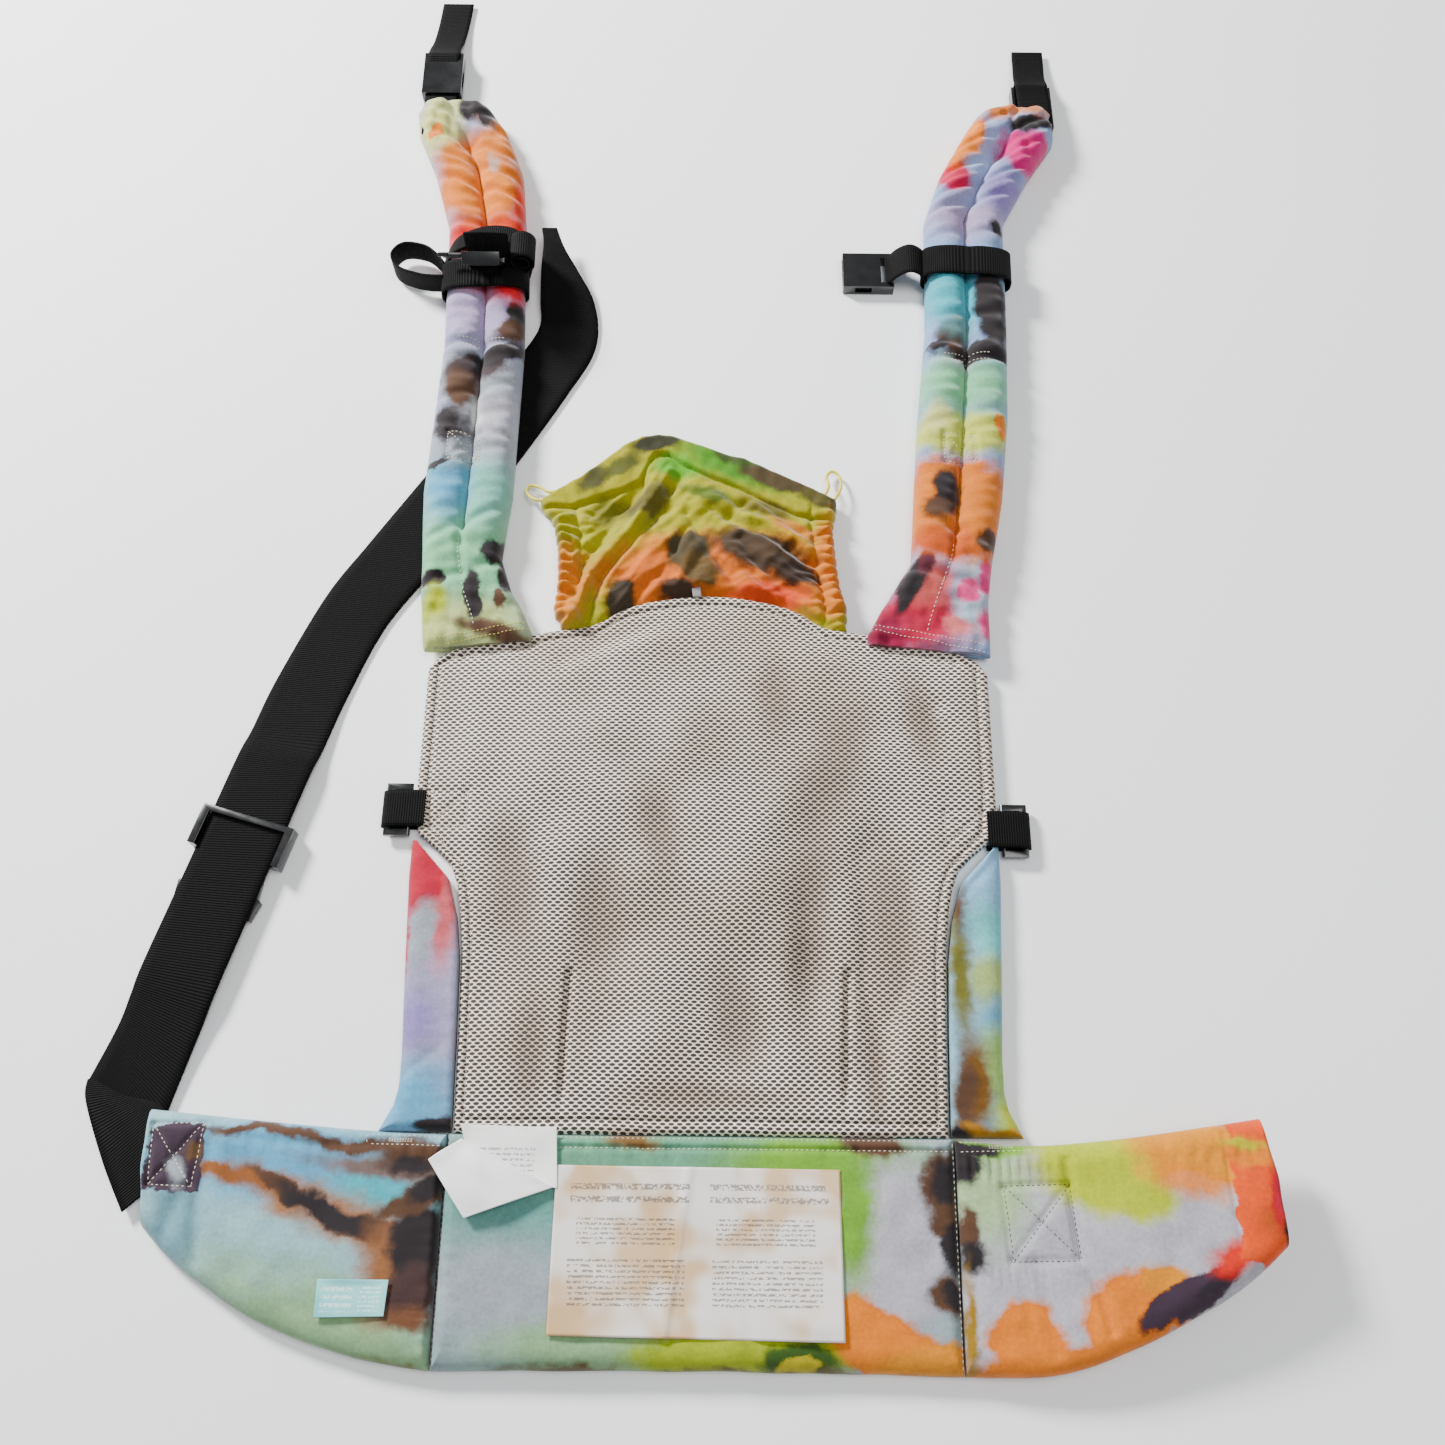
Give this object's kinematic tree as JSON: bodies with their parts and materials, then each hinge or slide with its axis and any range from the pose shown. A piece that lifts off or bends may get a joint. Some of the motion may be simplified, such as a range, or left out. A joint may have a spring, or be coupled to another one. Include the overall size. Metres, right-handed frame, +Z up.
{
  "type": "buckle baby carrier",
  "caption": "Soft structured baby carrier laid flat: padded waistband with wings, mesh-lined panel, hood, padded shoulder straps, webbing and side-release buckles.",
  "frame": {"origin": "middle of the waistband's underside, on the surface the carrier lies on", "axes": "+Z up out of the mesh lining, +Y from the waistband to the shoulder straps, +X to the right seen from above"},
  "size_m": [0.6971, 1.039, 0.063],
  "materials": {
    "dyed_twill": "matte tie-dyed cotton twill",
    "foam_padding": "matte foam",
    "spacer_mesh": "matte polyester spacer mesh",
    "black_webbing": "ribbed polypropylene webbing",
    "black_plastic": "gloss",
    "satin_label": "satin",
    "teal_label": "satin",
    "white_tag": "satin",
    "yellow_elastic": "matte elastic cord"
  },
  "bodies": {
    "waistband": {"waistband_outer_fabric": "dyed_twill", "waistband_lining": "dyed_twill", "waistband_foam": "foam_padding", "waist_webbing": "black_webbing", "waist_webbing_tail": "black_webbing", "information_label": "satin_label"},
    "left_wing": {"left_wing_outer_fabric": "dyed_twill", "left_wing_lining": "dyed_twill", "left_wing_foam": "foam_padding", "left_wing_webbing_anchor": "black_webbing", "fabric_label": "teal_label"},
    "right_wing": {"right_wing_outer_fabric": "dyed_twill", "right_wing_lining": "dyed_twill", "right_wing_foam": "foam_padding", "right_wing_end_flap": "dyed_twill", "waist_socket_webbing": "black_webbing"},
    "waist_socket": {"waist_buckle_socket": "black_plastic"},
    "waist_plug": {"waist_plug_frame": "black_plastic"},
    "waist_plug_left_latch": {"waist_plug_left_latch": "black_plastic"},
    "waist_plug_right_latch": {"waist_plug_right_latch": "black_plastic"},
    "care_tag": {"care_tag": "white_tag"},
    "body_panel": {"panel_outer_canvas": "dyed_twill", "panel_padding": "foam_padding", "panel_mesh_lining": "spacer_mesh", "left_leg_pad_cover": "dyed_twill", "left_leg_pad_foam": "foam_padding", "right_leg_pad_cover": "dyed_twill", "right_leg_pad_foam": "foam_padding", "left_side_adjuster_webbing": "black_webbing", "right_side_adjuster_webbing": "black_webbing", "hanging_tab": "white_tag"},
    "left_side_adjuster": {"left_side_adjuster_frame": "black_plastic"},
    "right_side_adjuster": {"right_side_adjuster_frame": "black_plastic"},
    "hood": {"hood_cloth": "dyed_twill", "hood_top_band": "dyed_twill", "hood_side_elastics": "yellow_elastic", "left_hood_loop": "yellow_elastic", "right_hood_loop": "yellow_elastic"},
    "left_strap": {"left_strap_cover": "dyed_twill", "left_strap_foam": "foam_padding", "left_shoulder_webbing": "black_webbing"},
    "right_strap": {"right_strap_cover": "dyed_twill", "right_strap_foam": "foam_padding", "right_shoulder_webbing": "black_webbing"},
    "left_shoulder_buckle": {"left_shoulder_buckle": "black_plastic"},
    "right_shoulder_buckle": {"right_shoulder_buckle": "black_plastic"},
    "left_chest_band": {"left_chest_band": "black_webbing", "left_chest_tail": "black_webbing"},
    "right_chest_band": {"right_chest_band": "black_webbing"},
    "chest_plug": {"chest_plug_frame": "black_plastic", "chest_plug_webbing": "black_webbing"},
    "chest_plug_upper_latch": {"chest_plug_upper_latch": "black_plastic"},
    "chest_plug_lower_latch": {"chest_plug_lower_latch": "black_plastic"},
    "chest_socket": {"chest_buckle_socket": "black_plastic"}
  },
  "joints": [
    {"name": "left_wing_fold", "type": "hinge", "parent": "waistband", "child": "left_wing", "pos_m": [-0.149, 0, 0.004], "axis": [0, -1, 0], "range_deg": [-35, 0]},
    {"name": "right_wing_fold", "type": "hinge", "parent": "waistband", "child": "right_wing", "pos_m": [0.149, 0, 0.004], "axis": [0, 1, 0], "range_deg": [-83, 0]},
    {"name": "waist_socket_swing", "type": "hinge", "parent": "right_wing", "child": "waist_socket", "pos_m": [0.2462, 0.017, 0.00525], "axis": [0, -1, 0], "range_deg": [-60, 0]},
    {"name": "waist_plug_slide", "type": "slide", "parent": "waistband", "child": "waist_plug", "axis": [0.2756, 0.9613, 0], "range_m": [-0.025, 0.02]},
    {"name": "waist_plug_left_latch_squeeze", "type": "hinge", "parent": "waist_plug", "child": "waist_plug_left_latch", "pos_m": [-0.31803, 0.23725, 0.0031], "axis": [0, 0, 1], "range_deg": [0, 4], "stiffness_Nm_per_rad": 0.3},
    {"name": "waist_plug_right_latch_squeeze", "type": "hinge", "parent": "waist_plug", "child": "waist_plug_right_latch", "pos_m": [-0.27958, 0.22622, 0.0031], "axis": [0, 0, 1], "range_deg": [-4, 0], "stiffness_Nm_per_rad": 0.3},
    {"name": "care_tag_flip", "type": "hinge", "parent": "waistband", "child": "care_tag", "pos_m": [0, 0.0575, 0.0151], "axis": [1, 0, 0], "range_deg": [-120, 0]},
    {"name": "panel_fold", "type": "hinge", "parent": "waistband", "child": "body_panel", "pos_m": [0, 0.064, 0.004], "axis": [1, 0, 0], "range_deg": [0, 90]},
    {"name": "left_side_adjuster_lift", "type": "hinge", "parent": "body_panel", "child": "left_side_adjuster", "pos_m": [-0.1908, 0.265, 0.005], "axis": [0, 1, 0], "range_deg": [0, 90]},
    {"name": "right_side_adjuster_lift", "type": "hinge", "parent": "body_panel", "child": "right_side_adjuster", "pos_m": [0.1908, 0.255, 0.005], "axis": [0, -1, 0], "range_deg": [0, 90]},
    {"name": "hood_fold", "type": "hinge", "parent": "body_panel", "child": "hood", "pos_m": [0, 0.393, 0.0093], "axis": [1, 0, 0], "range_deg": [0, 150]},
    {"name": "left_strap_fold", "type": "hinge", "parent": "body_panel", "child": "left_strap", "pos_m": [-0.155, 0.366, 0.0093], "axis": [1, 0, 0], "range_deg": [0, 110]},
    {"name": "right_strap_fold", "type": "hinge", "parent": "body_panel", "child": "right_strap", "pos_m": [0.155, 0.366, 0.0093], "axis": [1, 0, 0], "range_deg": [0, 110]},
    {"name": "left_shoulder_buckle_swing", "type": "hinge", "parent": "left_strap", "child": "left_shoulder_buckle", "pos_m": [-0.2145, 0.905, 0.00915], "axis": [-1, 0, 0], "range_deg": [0, 150]},
    {"name": "right_shoulder_buckle_swing", "type": "hinge", "parent": "right_strap", "child": "right_shoulder_buckle", "pos_m": [0.2575, 0.88, 0.00475], "axis": [1, 0, 0], "range_deg": [0, 110]},
    {"name": "left_chest_slide", "type": "slide", "parent": "left_strap", "child": "left_chest_band", "axis": [-0.0366, 0.9993, 0], "range_m": [-0.035, 0.04]},
    {"name": "right_chest_slide", "type": "slide", "parent": "right_strap", "child": "right_chest_band", "axis": [0.0436, 0.999, 0], "range_m": [-0.04, 0.03]},
    {"name": "chest_plug_lift", "type": "hinge", "parent": "left_chest_band", "child": "chest_plug", "pos_m": [-0.15, 0.688, 0.026], "axis": [0, 1, 0], "range_deg": [0, 45]},
    {"name": "chest_plug_upper_latch_squeeze", "type": "hinge", "parent": "chest_plug", "child": "chest_plug_upper_latch", "pos_m": [-0.1783, 0.689, 0.0545], "axis": [0, -1, 0], "range_deg": [0, 5], "stiffness_Nm_per_rad": 0.1},
    {"name": "chest_plug_lower_latch_squeeze", "type": "hinge", "parent": "chest_plug", "child": "chest_plug_lower_latch", "pos_m": [-0.1783, 0.689, 0.0345], "axis": [0, -1, 0], "range_deg": [-5, 0], "stiffness_Nm_per_rad": 0.1},
    {"name": "chest_socket_lift", "type": "hinge", "parent": "right_chest_band", "child": "chest_socket", "pos_m": [0.137, 0.698, 0.0045], "axis": [0, 1, 0], "range_deg": [0, 100]}
  ],
  "couplings": [
    {"joint": "waist_plug_right_latch_squeeze", "follows": "waist_plug_left_latch_squeeze", "ratio": -1},
    {"joint": "chest_plug_lower_latch_squeeze", "follows": "chest_plug_upper_latch_squeeze", "ratio": -1}
  ]
}
